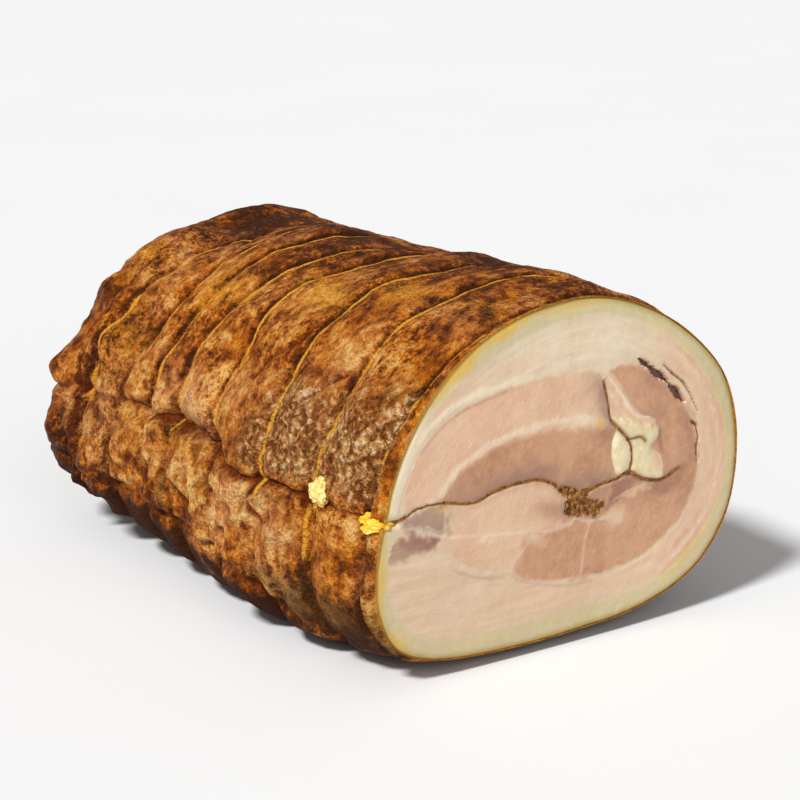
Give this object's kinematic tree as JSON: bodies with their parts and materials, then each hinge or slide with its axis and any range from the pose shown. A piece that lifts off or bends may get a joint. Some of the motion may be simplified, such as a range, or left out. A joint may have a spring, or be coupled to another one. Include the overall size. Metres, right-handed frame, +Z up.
{
  "type": "rolled pork belly roast",
  "caption": "Rolled, roasted pork belly with string marks in its browned rind, cut flat at one end to show fat, lean and a herb filling.",
  "frame": {"origin": "middle of the whole roast's box, on the surface that it rests on", "axes": "+X along the roll towards the cut face, +Z up, the seam on the -Y side"},
  "size_m": [0.2746, 0.1959, 0.1445],
  "materials": {
    "rind_and_fat": "roasted rind, glossy with fat",
    "belly_layer": "moist streaky fat",
    "lean_upper": "moist cooked lean",
    "lean_lower": "moist cooked lean",
    "fat_inner": "smooth cream fat",
    "herbs": "granular chopped herbs",
    "fat_beads": "glossy rendered fat"
  },
  "bodies": {
    "root": {"belly_wrap": "rind_and_fat", "belly_layer": "belly_layer", "upper_lean": "lean_upper", "lower_lean": "lean_lower", "inner_fat_fold": "fat_inner", "inner_fat_lobe": "fat_inner", "herb_filling": "herbs", "seam_fat_front": "fat_beads", "seam_fat_middle": "fat_beads"}
  },
  "joints": []
}
